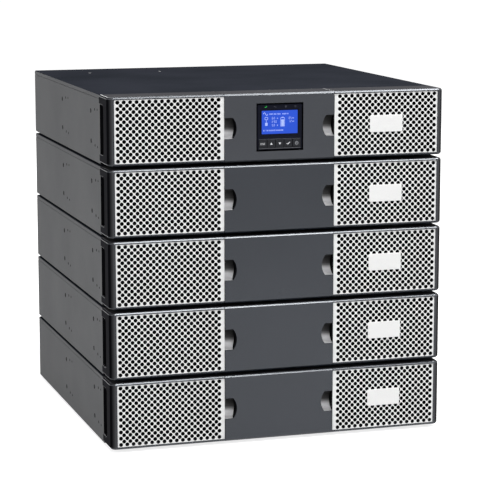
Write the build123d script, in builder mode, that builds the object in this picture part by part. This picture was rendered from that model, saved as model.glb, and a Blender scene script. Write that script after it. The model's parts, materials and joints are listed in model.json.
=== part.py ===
"""Rack-mount uninterruptible power supply standing on four matching battery units.

Millimetres. +Z is up, the front faces -Y, the origin is under the middle of the stack.
Every unit is drawn standing on z = 0, then copied up to its place in the stack.
"""
import os

from build123d import *

os.makedirs("parts", exist_ok=True)

# Stack: case and feet together take two rack units of height
BATTERY_COUNT = 4
OVERALL_DEPTH = 450.0

# Case: folded sheet tray with a lid whose short flanges lie flush in the sides
CASE_WIDTH = 438.0
CASE_HEIGHT = 86.5
SHEET = 1.2
CASE_WALL = 2.4
BEND_RADIUS = 1.6
LID_FLANGE = 5.0
LID_SEAM = 0.4
REAR_STANDOFF = 8.0

# Tapped holes in the case sides that take the rack ears
EAR_HOLE_RADIUS = 1.65
EAR_HOLE_PITCH = 38.1
EAR_HOLE_FROM_FRONT = 49.0

# Feet: rubber strips that fill the gap between two units
FOOT_HEIGHT = 2.4
FOOT_LENGTH = 40.0
FOOT_WIDTH = 14.0
FOOT_INSET_X = 29.0
FOOT_INSET_Y = 33.5

# Bezel: two end frames and a centre cover, flush with the case top and clear of its base
BEZEL_OVERHANG = 1.0
BEZEL_LIFT = 1.9
BEZEL_DEPTH = 45.0
BEZEL_CORNER_RADIUS = 8.0
BEZEL_EDGE = 2.0
COVER_WIDTH = 144.0
COVER_SEAM = 0.4
FRAME_POST = 5.0
FRAME_LIP = 2.95
FRAME_LEDGE = 2.0
EAR_SLOT_DEPTH = 22.0
EAR_SLOT_MARGIN = 11.3
EAR_SLOT_CORNER = 3.0

# Grilles: staggered holes, drawn four-sided and coarser than the real ones by a whole factor
GRILLE_THICKNESS = 2.5
GRILLE_RECESS = 0.6
GRILLE_CLEARANCE = 0.2
HOLE_PITCH = 8.0
HOLE_CORNER_RADIUS = 2.9
HOLE_COARSENING = 3
HOLE_SIDES = 4
HOLE_MARGIN = 0.2
PAD_WIDTH = 45.0
PAD_HEIGHT = 21.0

# Finger scoops at both ends of the centre cover
SCOOP_HEIGHT = 26.5
SCOOP_STRAIGHT = 10.6
SCOOP_BULGE = 5.0

# Tilting display in a window of the top unit's cover
WINDOW_WIDTH = 61.5
WINDOW_HEIGHT = 60.0
DISPLAY_GAP = 1.75
DISPLAY_RECESS = 1.0
DISPLAY_THICKNESS = 11.5
DISPLAY_EDGE_RADIUS = 1.0
DISPLAY_HEEL = 4.0
HINGE_INSET = 2.5
HINGE_PIN_RADIUS = 1.2
HINGE_PIN_LENGTH = 4.0
HINGE_CLEARANCE = 0.1
SCREEN_WIDTH = 50.0
SCREEN_HEIGHT = 31.0
SCREEN_THICKNESS = 1.2
SCREEN_RAISE = 6.0
SCREEN_CLEARANCE = 0.15

# Keys under the screen, from left to right
KEY_NAMES = ("escape", "up", "down", "enter", "power")
KEY_WIDTH = 10.4
KEY_HEIGHT = 9.4
KEY_PITCH = 11.1
KEY_RAISE = 7.5
KEY_PROUD = 0.7
KEY_ROOT = 3.0
KEY_WELL = 4.0
KEY_CLEARANCE = 0.3
KEY_EDGE = 0.4

# Rear of the units: on the top one a row of pieces, from left to right as seen from behind
OUTLET_COLUMNS = 4
OUTLET_ROWS = 2
OUTLET_WIDTH = 28.0
OUTLET_HEIGHT = 20.0
OUTLET_MOAT = 2.5
OUTLET_CORNER = 5.0
OUTLET_PITCH_X = 33.0
OUTLET_PITCH_Z = 25.0
OUTLET_WELL = 13.0
CONTACT_WIDTH = 2.4
CONTACT_HEIGHT = 5.0
CONTACT_SPREAD = 7.0
CONTACT_DROP = 2.0
OUTLET_BLOCK_MARGIN = 4.0
OUTLET_BLOCK_DEPTH = 16.0
OUTLET_FLANGE = 2.0
OUTLET_FLANGE_LIP = 3.0
BLOCK_CLEARANCE = 0.3
FAN_RADIUS = 34.0
GUARD_RADII = (37.0, 27.0, 17.0, 7.0)
GUARD_SIDES = 16
GUARD_BAR = 2.0
GUARD_THICKNESS = 2.0
PANEL_WIDTH = 60.0
PANEL_HEIGHT = 66.0
PANEL_THICKNESS = 1.5
CARD_WIDTH = 46.0
CARD_HEIGHT = 20.0
PORT_WIDTHS = (31.0, 12.0)
PORT_HEIGHT = 11.0
PORT_SPREAD = 20.0
PORT_RAISE = 3.0
PLUG_WIDTH = 46.0
PLUG_HEIGHT = 24.0
PLUG_WALL = 2.5
PLUG_FLOOR = 1.5
PLUG_SPREAD = 70.0

# Places worked out from the sizes above
UNIT_PITCH = CASE_HEIGHT + FOOT_HEIGHT
FRONT_Y = -OVERALL_DEPTH / 2
CASE_FRONT_Y = FRONT_Y + BEZEL_DEPTH
CASE_REAR_Y = OVERALL_DEPTH / 2 - REAR_STANDOFF
CASE_DEPTH = CASE_REAR_Y - CASE_FRONT_Y
CASE_MID_Y = (CASE_FRONT_Y + CASE_REAR_Y) / 2
CASE_MID_Z = FOOT_HEIGHT + CASE_HEIGHT / 2
BEZEL_WIDTH = CASE_WIDTH + 2 * BEZEL_OVERHANG
BEZEL_HEIGHT = CASE_HEIGHT - BEZEL_LIFT
BEZEL_MID_Z = UNIT_PITCH - BEZEL_HEIGHT / 2
COVER_EDGE = COVER_WIDTH / 2
FRAME_EDGE = COVER_EDGE + COVER_SEAM
GRILLE_EDGE = BEZEL_WIDTH / 2 - BEZEL_CORNER_RADIUS
GRILLE_HEIGHT = BEZEL_HEIGHT - 2 * FRAME_LIP
PLATE_EDGE = GRILLE_EDGE - GRILLE_CLEARANCE
PLATE_WIDTH = PLATE_EDGE - FRAME_EDGE
PLATE_HEIGHT = GRILLE_HEIGHT - 2 * GRILLE_CLEARANCE
PLATE_MID_X = (FRAME_EDGE + PLATE_EDGE) / 2
HOLE_STEP = HOLE_PITCH * HOLE_COARSENING
HOLE_RADIUS = HOLE_CORNER_RADIUS * HOLE_COARSENING
HOLE_COLUMNS = 1 + int((PLATE_WIDTH - 2 * (HOLE_RADIUS + HOLE_MARGIN)) // HOLE_STEP)
HOLE_ROWS = 1 + int((PLATE_HEIGHT - 2 * (HOLE_RADIUS + HOLE_MARGIN)) // HOLE_STEP)
DISPLAY_WIDTH = WINDOW_WIDTH - 2 * DISPLAY_GAP
DISPLAY_HEIGHT = WINDOW_HEIGHT - 2 * DISPLAY_GAP
DISPLAY_FACE_Y = FRONT_Y + DISPLAY_RECESS
HINGE_Y = DISPLAY_FACE_Y + HINGE_INSET
HINGE_Z = BEZEL_MID_Z + DISPLAY_HEIGHT / 2 - HINGE_INSET
KEY_ROW_Z = BEZEL_MID_Z - DISPLAY_HEIGHT / 2 + KEY_RAISE
OUTLET_BLOCK_WIDTH = (OUTLET_COLUMNS - 1) * OUTLET_PITCH_X + OUTLET_WIDTH + 2 * OUTLET_BLOCK_MARGIN
OUTLET_BLOCK_HEIGHT = (OUTLET_ROWS - 1) * OUTLET_PITCH_Z + OUTLET_HEIGHT + 2 * OUTLET_BLOCK_MARGIN
GUARD_WIDTH = 2 * GUARD_RADII[0]
OUTLETS_WIDTH = OUTLET_BLOCK_WIDTH + 2 * OUTLET_FLANGE_LIP
INLET_WIDTH = OUTLET_WIDTH + 2 * OUTLET_FLANGE_LIP
ROW_WIDTHS = (GUARD_WIDTH, PANEL_WIDTH, OUTLETS_WIDTH, INLET_WIDTH, PLUG_WIDTH)
ROW_GAP = (CASE_WIDTH - sum(ROW_WIDTHS)) / (len(ROW_WIDTHS) + 1)
FAN_X = -CASE_WIDTH / 2 + ROW_GAP + GUARD_WIDTH / 2
PANEL_X = FAN_X + GUARD_WIDTH / 2 + ROW_GAP + PANEL_WIDTH / 2
OUTLETS_X = PANEL_X + PANEL_WIDTH / 2 + ROW_GAP + OUTLETS_WIDTH / 2
INLET_X = OUTLETS_X + OUTLETS_WIDTH / 2 + ROW_GAP + INLET_WIDTH / 2
PLUG_X = INLET_X + INLET_WIDTH / 2 + ROW_GAP + PLUG_WIDTH / 2
FRONT = Plane(origin=(0, FRONT_Y, BEZEL_MID_Z), x_dir=(1, 0, 0), z_dir=(0, -1, 0))
REAR = Plane(origin=(0, CASE_REAR_Y, CASE_MID_Z), x_dir=(-1, 0, 0), z_dir=(0, 1, 0))


def save(part, name, level):
    """Write one piece, lifted to its level in the stack."""
    piece = part.moved(Location((0, 0, level * UNIT_PITCH)))
    piece.label = name
    export_step(piece, f"parts/{name}.step")


# Case tray, hollow, stepped at the top of both sides where the lid's flanges lie
with BuildPart() as battery_case:
    with BuildSketch(Plane.XZ.offset(-CASE_FRONT_Y)):
        with Locations((0, CASE_MID_Z - SHEET / 2)):
            Rectangle(CASE_WIDTH, CASE_HEIGHT - SHEET)
    extrude(amount=-CASE_DEPTH)
    fillet(battery_case.edges().filter_by(Axis.Y).group_by(Axis.Z)[0], BEND_RADIUS)
    offset(amount=-CASE_WALL, openings=battery_case.faces().sort_by(Axis.Z)[-1])
    with BuildSketch(Plane.XZ.offset(-CASE_FRONT_Y)):
        with Locations((-CASE_WIDTH / 2, UNIT_PITCH), (CASE_WIDTH / 2, UNIT_PITCH)):
            Rectangle(2 * SHEET, 2 * (LID_FLANGE + LID_SEAM))
    extrude(amount=-CASE_DEPTH, mode=Mode.SUBTRACT)
    with BuildSketch(Plane.YZ):
        with Locations((CASE_FRONT_Y + EAR_HOLE_FROM_FRONT, CASE_MID_Z)):
            with GridLocations(0, EAR_HOLE_PITCH, 1, 2):
                Circle(EAR_HOLE_RADIUS)
    extrude(amount=CASE_WIDTH / 2, both=True, mode=Mode.SUBTRACT)

# The top unit's case is also cut for the outlet block and the fan
with BuildPart() as ups_case:
    add(battery_case.part)
    with BuildSketch(REAR):
        with Locations((OUTLETS_X, 0)):
            Rectangle(OUTLET_BLOCK_WIDTH + 2 * BLOCK_CLEARANCE, OUTLET_BLOCK_HEIGHT + 2 * BLOCK_CLEARANCE)
        with Locations((FAN_X, 0)):
            Circle(FAN_RADIUS)
    extrude(amount=-CASE_WALL, mode=Mode.SUBTRACT)

# Lid
with BuildPart() as lid:
    with BuildSketch(Plane.XZ.offset(-CASE_FRONT_Y)):
        with Locations((0, UNIT_PITCH - LID_FLANGE / 2)):
            Rectangle(CASE_WIDTH, LID_FLANGE)
        with Locations((0, UNIT_PITCH - SHEET - LID_FLANGE / 2)):
            Rectangle(CASE_WIDTH - 2 * SHEET, LID_FLANGE, mode=Mode.SUBTRACT)
    extrude(amount=-CASE_DEPTH)
    fillet(lid.edges().filter_by(Axis.Y).group_by(Axis.Z)[-1], BEND_RADIUS)

# Rubber feet
with BuildPart() as feet:
    with BuildSketch():
        with Locations((0, CASE_MID_Y)):
            with GridLocations(CASE_WIDTH - 2 * FOOT_INSET_X, CASE_DEPTH - 2 * FOOT_INSET_Y, 2, 2):
                Rectangle(FOOT_WIDTH, FOOT_LENGTH)
    extrude(amount=FOOT_HEIGHT)

# End frames of the bezel: rounded outside, open to the air through the grille
with BuildPart() as end_frames:
    with BuildSketch(FRONT):
        with Locations(((FRAME_EDGE + BEZEL_WIDTH / 2) / 2, 0)):
            Rectangle(BEZEL_WIDTH / 2 - FRAME_EDGE, BEZEL_HEIGHT)
    extrude(amount=-BEZEL_DEPTH)
    outer_corner = end_frames.edges().filter_by(Axis.Z).group_by(Axis.Y)[0].sort_by(Axis.X)[-1]
    fillet(outer_corner, BEZEL_CORNER_RADIUS)
    front_rim = end_frames.faces().sort_by(Axis.Y)[0].edges().filter_by(Axis.X)
    corner_rim = end_frames.edges().filter_by(GeomType.CIRCLE)
    side_rim = end_frames.faces().sort_by(Axis.X)[-1].edges().filter_by(Axis.Y)
    chamfer(front_rim + corner_rim + side_rim, BEZEL_EDGE)
    with BuildSketch(FRONT):
        with Locations(((FRAME_EDGE + GRILLE_EDGE) / 2, 0)):
            Rectangle(GRILLE_EDGE - FRAME_EDGE, GRILLE_HEIGHT)
    extrude(amount=-(GRILLE_RECESS + GRILLE_THICKNESS), mode=Mode.SUBTRACT)
    with BuildSketch(FRONT):
        with Locations(((FRAME_EDGE + FRAME_POST + GRILLE_EDGE - FRAME_LEDGE) / 2, 0)):
            Rectangle(GRILLE_EDGE - FRAME_LEDGE - FRAME_EDGE - FRAME_POST, GRILLE_HEIGHT - 2 * FRAME_LEDGE)
    extrude(amount=-BEZEL_DEPTH, mode=Mode.SUBTRACT)
    with BuildSketch(Plane.YZ.offset(BEZEL_WIDTH / 2)):
        with Locations((CASE_FRONT_Y, BEZEL_MID_Z)):
            slot = Rectangle(2 * EAR_SLOT_DEPTH, BEZEL_HEIGHT - 2 * EAR_SLOT_MARGIN)
        chamfer(slot.vertices(), EAR_SLOT_CORNER)
    extrude(amount=-(BEZEL_WIDTH / 2 - GRILLE_EDGE + FRAME_LEDGE), mode=Mode.SUBTRACT)
    mirror(about=Plane.YZ)

# Grille plates: two staggered grids of holes, with a plain pad in the middle of the right plate
with BuildPart() as grilles:
    with BuildSketch(FRONT.offset(-GRILLE_RECESS)):
        with Locations((PLATE_MID_X, 0)):
            Rectangle(PLATE_WIDTH, PLATE_HEIGHT)
            with GridLocations(HOLE_STEP, HOLE_STEP, HOLE_COLUMNS, HOLE_ROWS):
                RegularPolygon(HOLE_RADIUS, HOLE_SIDES, mode=Mode.SUBTRACT)
            with GridLocations(HOLE_STEP, HOLE_STEP, HOLE_COLUMNS - 1, HOLE_ROWS - 1):
                RegularPolygon(HOLE_RADIUS, HOLE_SIDES, mode=Mode.SUBTRACT)
    extrude(amount=-GRILLE_THICKNESS)
    mirror(about=Plane.YZ)
    with BuildSketch(FRONT.offset(-GRILLE_RECESS)):
        with Locations((PLATE_MID_X, 0)):
            Rectangle(PAD_WIDTH, PAD_HEIGHT)
    extrude(amount=-GRILLE_THICKNESS)

# One finger scoop: a hollow lying across the cover's end, cut to a bulging outline
with BuildPart() as scoop:
    with BuildSketch(FRONT):
        with BuildLine():
            inner = COVER_EDGE - SCOOP_STRAIGHT
            Polyline((inner, SCOOP_HEIGHT / 2), (COVER_EDGE, SCOOP_HEIGHT / 2),
                     (COVER_EDGE, -SCOOP_HEIGHT / 2), (inner, -SCOOP_HEIGHT / 2))
            ThreePointArc((inner, -SCOOP_HEIGHT / 2), (inner - SCOOP_BULGE, 0), (inner, SCOOP_HEIGHT / 2))
        make_face()
    extrude(amount=-SCOOP_HEIGHT / 2)
    with BuildSketch(Plane.YZ.offset(inner - SCOOP_BULGE)):
        with Locations((FRONT_Y, BEZEL_MID_Z)):
            Circle(SCOOP_HEIGHT / 2)
    extrude(amount=SCOOP_STRAIGHT + SCOOP_BULGE, mode=Mode.INTERSECT)
    mirror(about=Plane.YZ)

# Centre cover
with BuildPart() as battery_cover:
    with BuildSketch(FRONT):
        Rectangle(COVER_WIDTH, BEZEL_HEIGHT)
    extrude(amount=-BEZEL_DEPTH)
    chamfer(battery_cover.faces().sort_by(Axis.Y)[0].edges().filter_by(Axis.X), BEZEL_EDGE)
    add(scoop.part, mode=Mode.SUBTRACT)

# The top unit's cover has a window for the display, with sockets for its hinge pins
with BuildPart() as ups_cover:
    add(battery_cover.part)
    with BuildSketch(FRONT):
        Rectangle(WINDOW_WIDTH, WINDOW_HEIGHT)
    extrude(amount=-BEZEL_DEPTH, mode=Mode.SUBTRACT)
    with BuildSketch(Plane.YZ):
        with Locations((HINGE_Y, HINGE_Z)):
            Circle(HINGE_PIN_RADIUS + HINGE_CLEARANCE)
    extrude(amount=DISPLAY_WIDTH / 2 + HINGE_PIN_LENGTH + HINGE_CLEARANCE, both=True, mode=Mode.SUBTRACT)

# Display housing: hinge pins at its top corners, wells for the screen and the keys
with BuildPart() as display_housing:
    with BuildSketch(FRONT.offset(-DISPLAY_RECESS)):
        Rectangle(DISPLAY_WIDTH, DISPLAY_HEIGHT)
    extrude(amount=-DISPLAY_THICKNESS)
    fillet(display_housing.faces().sort_by(Axis.Y)[0].edges().filter_by(Axis.X), DISPLAY_EDGE_RADIUS)
    chamfer(display_housing.edges().filter_by(Axis.X).group_by(Axis.Z)[0].sort_by(Axis.Y)[-1], DISPLAY_HEEL)
    with BuildSketch(FRONT.offset(-DISPLAY_RECESS)):
        with Locations((0, SCREEN_RAISE)):
            Rectangle(SCREEN_WIDTH + 2 * SCREEN_CLEARANCE, SCREEN_HEIGHT + 2 * SCREEN_CLEARANCE)
    extrude(amount=-SCREEN_THICKNESS, mode=Mode.SUBTRACT)
    with BuildSketch(FRONT.offset(-DISPLAY_RECESS)):
        with Locations((0, KEY_ROW_Z - BEZEL_MID_Z)):
            with GridLocations(KEY_PITCH, 0, len(KEY_NAMES), 1):
                Rectangle(KEY_WIDTH + 2 * KEY_CLEARANCE, KEY_HEIGHT + 2 * KEY_CLEARANCE)
    extrude(amount=-KEY_WELL, mode=Mode.SUBTRACT)
    with BuildSketch(Plane.YZ):
        with Locations((HINGE_Y, HINGE_Z)):
            Circle(HINGE_PIN_RADIUS)
    extrude(amount=DISPLAY_WIDTH / 2 + HINGE_PIN_LENGTH, both=True)

# Screen
with BuildPart() as display_screen:
    with BuildSketch(FRONT.offset(-DISPLAY_RECESS)):
        with Locations((0, SCREEN_RAISE)):
            Rectangle(SCREEN_WIDTH, SCREEN_HEIGHT)
    extrude(amount=-SCREEN_THICKNESS)

# One key, drawn in the middle of the row
with BuildPart() as key:
    with BuildSketch(FRONT.offset(KEY_PROUD - DISPLAY_RECESS)):
        with Locations((0, KEY_ROW_Z - BEZEL_MID_Z)):
            Rectangle(KEY_WIDTH, KEY_HEIGHT)
    extrude(amount=-(KEY_PROUD + KEY_ROOT))
    chamfer(key.faces().sort_by(Axis.Y)[0].edges(), KEY_EDGE)

# Outline of a power outlet, used for its well and, smaller, for its core
with BuildSketch() as outlet_outline:
    Rectangle(OUTLET_WIDTH, OUTLET_HEIGHT)
    chamfer(outlet_outline.vertices().group_by(Axis.Y)[-1], OUTLET_CORNER)
with BuildSketch() as outlet_core:
    Rectangle(OUTLET_WIDTH - 2 * OUTLET_MOAT, OUTLET_HEIGHT - 2 * OUTLET_MOAT)
    chamfer(outlet_core.vertices().group_by(Axis.Y)[-1], OUTLET_CORNER - OUTLET_MOAT / 2)
with BuildSketch() as outlet_contacts:
    with Locations((-CONTACT_SPREAD, -CONTACT_DROP), (0, CONTACT_DROP), (CONTACT_SPREAD, -CONTACT_DROP)):
        Rectangle(CONTACT_WIDTH, CONTACT_HEIGHT)

# Power outlets, moulded as one block with a thin flange
with BuildPart() as ups_outlets:
    with BuildSketch(REAR):
        with Locations((OUTLETS_X, 0)):
            Rectangle(OUTLET_BLOCK_WIDTH, OUTLET_BLOCK_HEIGHT)
    extrude(amount=-OUTLET_BLOCK_DEPTH)
    with BuildSketch(REAR):
        with Locations((OUTLETS_X, 0)):
            Rectangle(OUTLETS_WIDTH, OUTLET_BLOCK_HEIGHT + 2 * OUTLET_FLANGE_LIP)
    extrude(amount=OUTLET_FLANGE)
    with BuildSketch(REAR.offset(OUTLET_FLANGE)):
        with Locations((OUTLETS_X, 0)):
            with GridLocations(OUTLET_PITCH_X, OUTLET_PITCH_Z, OUTLET_COLUMNS, OUTLET_ROWS):
                add(outlet_outline.sketch)
                add(outlet_core.sketch, mode=Mode.SUBTRACT)
                add(outlet_contacts.sketch)
    extrude(amount=-OUTLET_WELL, mode=Mode.SUBTRACT)

# Power inlet: a shroud around three blades
with BuildPart() as ups_inlet:
    with BuildSketch(REAR):
        with Locations((INLET_X, 0)):
            Rectangle(INLET_WIDTH, OUTLET_HEIGHT + 2 * OUTLET_FLANGE_LIP)
    extrude(amount=REAR_STANDOFF)
    with BuildSketch(REAR.offset(PLUG_FLOOR)):
        with Locations((INLET_X, 0)):
            add(outlet_outline.sketch)
            add(outlet_contacts.sketch, mode=Mode.SUBTRACT)
    extrude(amount=REAR_STANDOFF, mode=Mode.SUBTRACT)

# Fan guard: rings joined by two crossing bars
with BuildPart() as ups_fan_guard:
    with BuildSketch(REAR):
        with Locations((FAN_X, 0)):
            for radius in GUARD_RADII:
                RegularPolygon(radius, GUARD_SIDES)
                RegularPolygon(radius - GUARD_BAR, GUARD_SIDES, mode=Mode.SUBTRACT)
            Rectangle(GUARD_WIDTH - GUARD_BAR, GUARD_BAR)
            Rectangle(GUARD_BAR, GUARD_WIDTH - GUARD_BAR)
    extrude(amount=GUARD_THICKNESS)

# Signal panel: the blank of the card slot above two ports
with BuildPart() as ups_signal_panel:
    with BuildSketch(REAR):
        with Locations((PANEL_X, 0)):
            Rectangle(PANEL_WIDTH, PANEL_HEIGHT)
    extrude(amount=PANEL_THICKNESS)
    with BuildSketch(REAR.offset(PANEL_THICKNESS)):
        with Locations((PANEL_X, PANEL_HEIGHT / 4)):
            Rectangle(CARD_WIDTH, CARD_HEIGHT)
        with Locations((PANEL_X - PORT_WIDTHS[1] / 2, -PANEL_HEIGHT / 4)):
            Rectangle(PORT_WIDTHS[0], PORT_HEIGHT)
        with Locations((PANEL_X + PORT_SPREAD, -PANEL_HEIGHT / 4)):
            Rectangle(PORT_WIDTHS[1], PORT_HEIGHT)
    extrude(amount=PORT_RAISE)

# Battery plug: a shell around two contact wells
with BuildPart() as battery_plug:
    with BuildSketch(REAR):
        Rectangle(PLUG_WIDTH, PLUG_HEIGHT)
    extrude(amount=REAR_STANDOFF)
    with BuildSketch(REAR.offset(PLUG_FLOOR)):
        with GridLocations(PLUG_WIDTH / 2 - PLUG_WALL / 2, 0, 2, 1):
            Rectangle(PLUG_WIDTH / 2 - 3 * PLUG_WALL / 2, PLUG_HEIGHT - 2 * PLUG_WALL)
    extrude(amount=REAR_STANDOFF, mode=Mode.SUBTRACT)

with BuildPart() as ups_plug:
    with Locations((-PLUG_X, 0, 0)):
        add(battery_plug.part)

with BuildPart() as battery_plugs:
    with Locations((-PLUG_SPREAD, 0, 0), (PLUG_SPREAD, 0, 0)):
        add(battery_plug.part)

# Battery units, numbered from the bottom up
for level in range(BATTERY_COUNT):
    unit = f"battery_{level + 1}"
    save(battery_case.part, f"{unit}_case", level)
    save(lid.part, f"{unit}_lid", level)
    save(feet.part, f"{unit}_feet", level)
    save(end_frames.part, f"{unit}_end_frames", level)
    save(grilles.part, f"{unit}_grilles", level)
    save(battery_cover.part, f"{unit}_centre_cover", level)
    save(battery_plugs.part, f"{unit}_rear_plugs", level)

# The power unit on top
save(ups_case.part, "ups_case", BATTERY_COUNT)
save(lid.part, "ups_lid", BATTERY_COUNT)
save(feet.part, "ups_feet", BATTERY_COUNT)
save(end_frames.part, "ups_end_frames", BATTERY_COUNT)
save(grilles.part, "ups_grilles", BATTERY_COUNT)
save(ups_cover.part, "ups_centre_cover", BATTERY_COUNT)
save(ups_outlets.part, "ups_outlets", BATTERY_COUNT)
save(ups_inlet.part, "ups_inlet", BATTERY_COUNT)
save(ups_fan_guard.part, "ups_fan_guard", BATTERY_COUNT)
save(ups_signal_panel.part, "ups_signal_panel", BATTERY_COUNT)
save(ups_plug.part, "ups_battery_plug", BATTERY_COUNT)
save(display_housing.part, "display_housing", BATTERY_COUNT)
save(display_screen.part, "display_screen", BATTERY_COUNT)
for index, key_name in enumerate(KEY_NAMES):
    across = (index - (len(KEY_NAMES) - 1) / 2) * KEY_PITCH
    save(key.part.moved(Location((across, 0, 0))), f"key_{key_name}", BATTERY_COUNT)
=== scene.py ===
# %% [markdown]
# # A rack-mount power supply on four battery units
# Five boxes of the same height stand on each other. The lowest four hold batteries, and the top one
# turns their current into mains power and carries the screen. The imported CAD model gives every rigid
# form in its exact place. This lesson loads that model, photographs it in a small studio, and gives it
# what CAD leaves out: the fine perforated grilles, paint, moulded plastic, the picture on the screen and
# the signs on the keys.

# %% Load the frame
import json
import math
import random

import bmesh
import bpy
from mathutils import Matrix, Vector


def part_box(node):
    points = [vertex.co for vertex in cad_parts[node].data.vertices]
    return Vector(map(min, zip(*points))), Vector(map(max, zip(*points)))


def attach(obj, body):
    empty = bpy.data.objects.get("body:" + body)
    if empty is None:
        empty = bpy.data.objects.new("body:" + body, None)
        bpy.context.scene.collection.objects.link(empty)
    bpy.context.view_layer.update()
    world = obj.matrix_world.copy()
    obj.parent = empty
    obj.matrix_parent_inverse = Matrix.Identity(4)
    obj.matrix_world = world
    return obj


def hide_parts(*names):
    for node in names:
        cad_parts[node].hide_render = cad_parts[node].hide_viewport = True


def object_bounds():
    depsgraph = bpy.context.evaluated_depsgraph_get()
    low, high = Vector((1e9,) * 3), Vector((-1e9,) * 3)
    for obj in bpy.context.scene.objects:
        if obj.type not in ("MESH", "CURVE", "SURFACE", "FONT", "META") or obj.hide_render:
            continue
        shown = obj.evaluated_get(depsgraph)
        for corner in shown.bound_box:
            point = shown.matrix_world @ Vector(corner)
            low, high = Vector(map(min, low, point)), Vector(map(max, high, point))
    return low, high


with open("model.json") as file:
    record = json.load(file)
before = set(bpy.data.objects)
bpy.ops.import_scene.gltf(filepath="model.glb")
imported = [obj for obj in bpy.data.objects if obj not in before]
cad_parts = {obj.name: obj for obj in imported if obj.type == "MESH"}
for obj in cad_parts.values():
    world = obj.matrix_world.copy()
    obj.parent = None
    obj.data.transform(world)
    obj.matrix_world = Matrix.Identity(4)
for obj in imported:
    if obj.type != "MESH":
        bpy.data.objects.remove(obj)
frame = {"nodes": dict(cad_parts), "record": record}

MM = 0.001
cad_low, cad_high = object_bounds()
nodes = frame["nodes"]
UNITS = ["battery_1", "battery_2", "battery_3", "battery_4", "ups"]
base_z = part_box("battery_1_case")[0].z
LIFT = {unit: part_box(f"{unit}_case")[0].z - base_z for unit in UNITS}
print("CAD box in metres:", [round(v, 4) for v in (*cad_low, *cad_high)], "nodes:", len(nodes))

# %% [markdown]
# ## The camera
# A camera's place and its focal length can be worked out from points whose real places are known. Here
# the corners of the ten pale grilles were used, because they cover the whole front. A long lens some
# 2.6 m away, a little to the left and above, puts them within a few pixels of their places.

# %% Camera
IMAGE_SIDE = 500
FOCAL_PIXELS = 1994.0
SENSOR_WIDTH = 36.0
EYE = Vector((-0.783, -2.5714, 0.6668))
AZIMUTH = math.radians(17.59)
ELEVATION = math.radians(9.64)
scene = bpy.context.scene


def new_object(name, data):
    """A new object in the scene."""
    thing = bpy.data.objects.new(name, data)
    scene.collection.objects.link(thing)
    return thing


camera_data = bpy.data.cameras.new("camera")
camera_data.sensor_width = SENSOR_WIDTH
camera_data.lens = FOCAL_PIXELS * SENSOR_WIDTH / IMAGE_SIDE
camera = new_object("camera", camera_data)
look = Vector((math.sin(AZIMUTH) * math.cos(ELEVATION), math.cos(AZIMUTH) * math.cos(ELEVATION),
               -math.sin(ELEVATION)))
camera.location = EYE
camera.rotation_mode = "QUATERNION"
camera.rotation_quaternion = look.to_track_quat("-Z", "Y")
scene.camera = camera
print("lens:", round(camera_data.lens, 1), "mm")

# %% [markdown]
# ## The studio
# A product on white stands on a pale sweep under soft boxes. The world could be one flat white, but then
# every edge would look dull. So the world stays at a plain level for the light it gives, and shows as
# white only to the camera and in reflections. An edge cut at 45 degrees mirrors what is right above it,
# so a soft box hangs over the front and draws the thin bright lines on the bezels. A large one on the
# left lights the sides of the cases, and one high in front shines into the finger scoops.

# %% World, floor and lamps
AMBIENT = 0.42
scene.view_settings.view_transform = "Standard"
world = bpy.data.worlds.new("studio")
scene.world = world
world.use_nodes = True


def set_strength(tree, plain, direct, socket):
    """One strength for rays from the camera, a reflection or through glass, and a plain one for others."""
    path = tree.nodes.new("ShaderNodeLightPath")
    value = path.outputs["Is Camera Ray"]
    for kind in ("Is Glossy Ray", "Is Transmission Ray"):
        either = tree.nodes.new("ShaderNodeMath")
        either.operation = "MAXIMUM"
        tree.links.new(value, either.inputs[0])
        tree.links.new(path.outputs[kind], either.inputs[1])
        value = either.outputs[0]
    level = tree.nodes.new("ShaderNodeMapRange")
    level.inputs["To Min"].default_value = plain
    level.inputs["To Max"].default_value = direct
    tree.links.new(value, level.inputs["Value"])
    tree.links.new(level.outputs["Result"], socket)


sky = world.node_tree.nodes["Background"]
sky.inputs["Color"].default_value = (1.0, 1.0, 1.0, 1.0)
set_strength(world.node_tree, AMBIENT, 1.0, sky.inputs["Strength"])

FLOOR_HALF = 40.0
FLOOR_GREY = 0.62
FLOOR_ROUGHNESS = 0.9
FLOOR_GLOW = 0.78
floor_corners = [(x * FLOOR_HALF, y * FLOOR_HALF, 0.0) for x, y in ((-1, -1), (1, -1), (1, 1), (-1, 1))]
floor_mesh = bpy.data.meshes.new("floor")
floor_mesh.from_pydata(floor_corners, [], [(0, 1, 2, 3)])
floor = new_object("floor", floor_mesh)
floor_paper = bpy.data.materials.new("floor_paper")
floor_paper.use_nodes = True
paper_shader = floor_paper.node_tree.nodes["Principled BSDF"]
paper_shader.inputs["Base Color"].default_value = (FLOOR_GREY, FLOOR_GREY, FLOOR_GREY, 1.0)
paper_shader.inputs["Roughness"].default_value = FLOOR_ROUGHNESS
paper_shader.inputs["Specular IOR Level"].default_value = 0.0
paper_shader.inputs["Emission Color"].default_value = (1.0, 1.0, 1.0, 1.0)
set_strength(floor_paper.node_tree, 0.0, FLOOR_GLOW, paper_shader.inputs["Emission Strength"])
floor_mesh.materials.append(floor_paper)


def soft_box(name, place, target, width, height, watts):
    """A rectangular lamp that points to a target."""
    lamp = bpy.data.lights.new(name, "AREA")
    lamp.shape = "RECTANGLE"
    lamp.size = width
    lamp.size_y = height
    lamp.energy = watts
    holder = new_object(name, lamp)
    holder.location = place
    holder.rotation_mode = "QUATERNION"
    holder.rotation_quaternion = (Vector(target) - Vector(place)).to_track_quat("-Z", "Y")
    holder.visible_camera = False


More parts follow.
